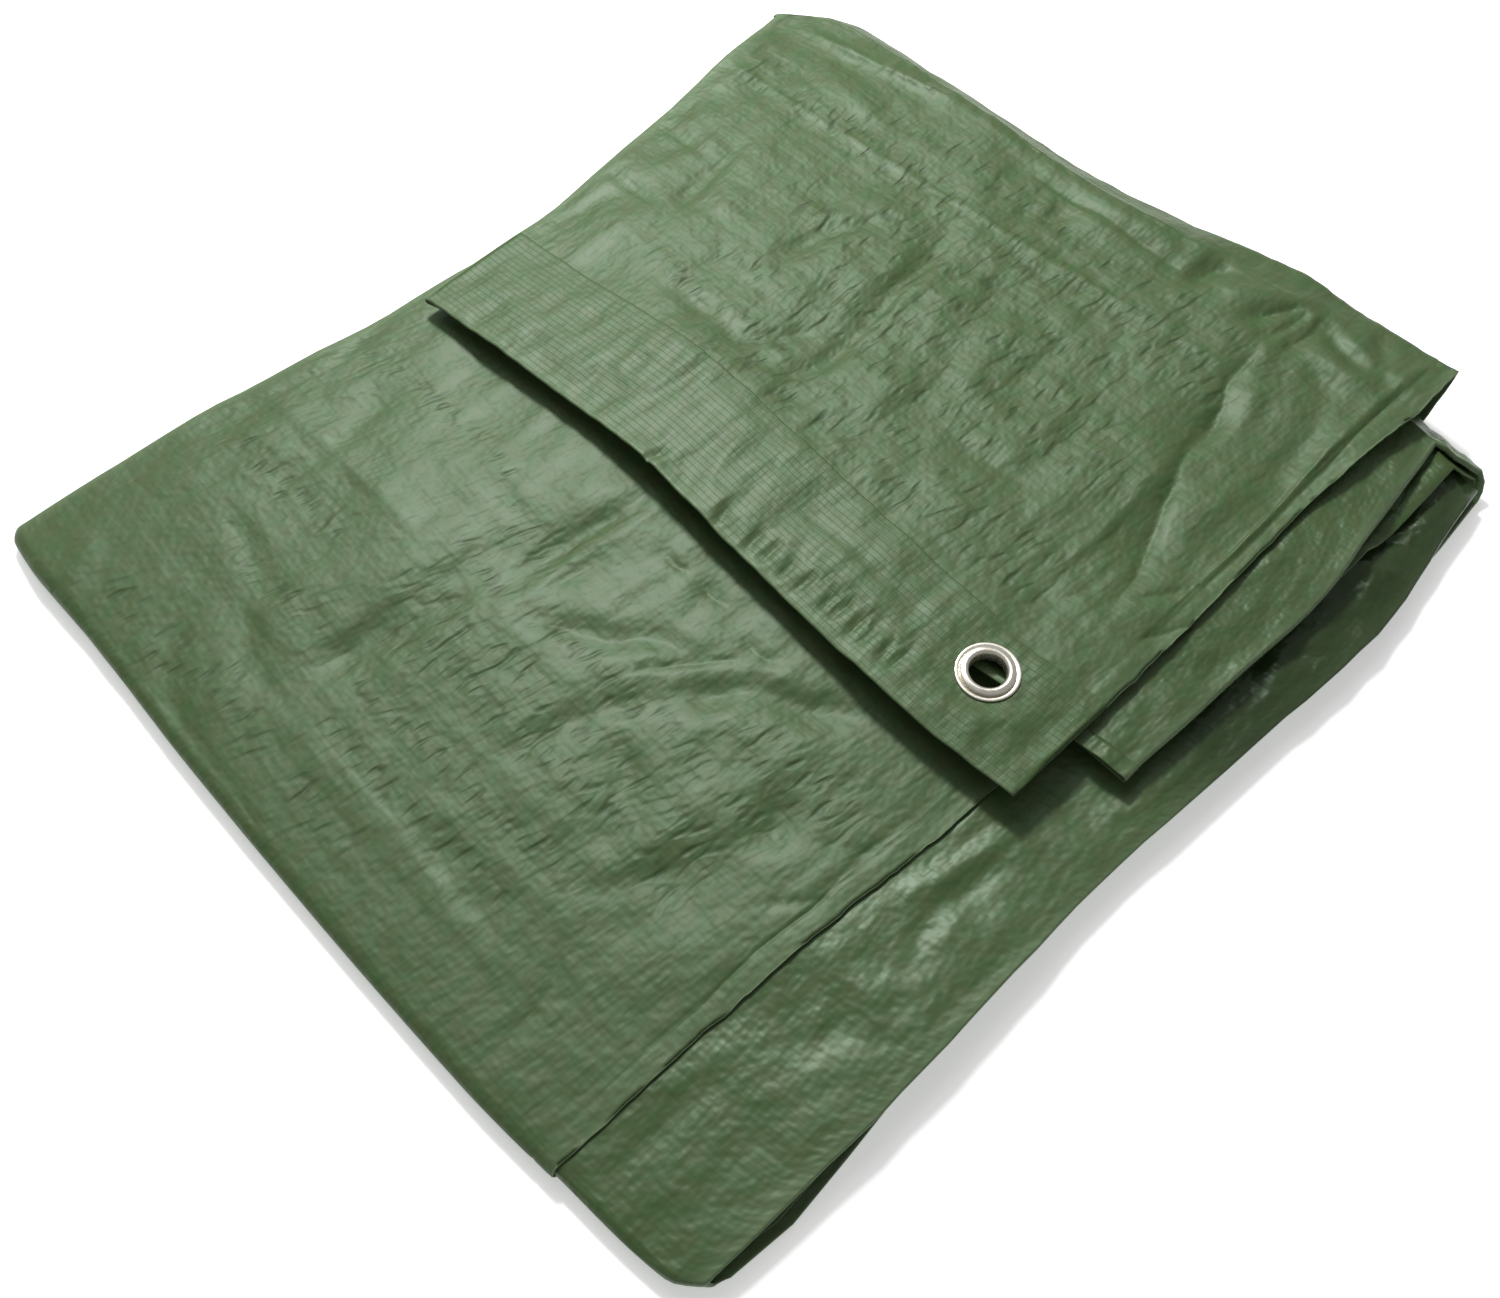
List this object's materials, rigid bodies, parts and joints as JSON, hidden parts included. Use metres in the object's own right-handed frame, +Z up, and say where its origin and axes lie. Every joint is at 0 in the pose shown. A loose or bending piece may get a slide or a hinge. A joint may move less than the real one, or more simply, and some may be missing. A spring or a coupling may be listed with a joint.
{
  "type": "folded poly tarp",
  "caption": "Green woven poly tarp, pleated and folded in three like a letter, with a metal eyelet in the corner of its flap.",
  "frame": {"origin": "middle of the pack's bounding box, on the surface it lies on", "axes": "+Z up; +X across the strip, from its left pleats to its open right side; +Y along the strip, from the near letter fold to the far one"},
  "size_m": [0.3676, 0.4274, 0.0291],
  "materials": {
    "poly_cloth": "satin",
    "plated_steel": "polished"
  },
  "bodies": {
    "root": {"tarp_cloth": "poly_cloth", "hem_strip": "poly_cloth", "eyelet": "plated_steel", "eyelet_washer": "plated_steel"}
  },
  "joints": []
}
